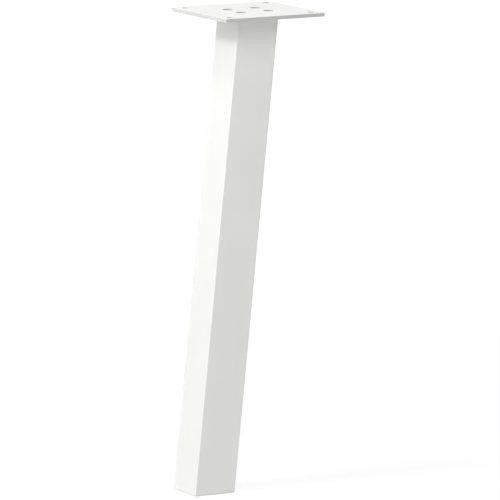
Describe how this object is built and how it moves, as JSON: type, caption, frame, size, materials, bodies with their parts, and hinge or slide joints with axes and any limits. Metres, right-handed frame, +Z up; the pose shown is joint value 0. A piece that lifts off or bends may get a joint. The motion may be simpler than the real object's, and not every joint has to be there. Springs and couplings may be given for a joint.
{
  "type": "square metal table leg",
  "caption": "Square steel tube table leg that leans outward under a flat square screw plate, sawn level for the floor, with a plastic end plug, powder coated white.",
  "frame": {"origin": "centre of the mounting plate's top face, which meets the underside of a table", "axes": "+Z up out of the plate's top face; X and Y along the plate's sides; the leg leans towards -X on its way down to the floor"},
  "size_m": [0.1148, 0.1, 0.43],
  "materials": {
    "powder_coated_steel": "warm white powder coat on steel, fine satin, faint orange peel",
    "plug_plastic": "white moulded polyethylene, matt"
  },
  "bodies": {
    "root": {"mounting_plate": "powder_coated_steel", "leg_tube": "powder_coated_steel", "weld_bead": "powder_coated_steel", "end_plug": "plug_plastic"}
  },
  "joints": []
}
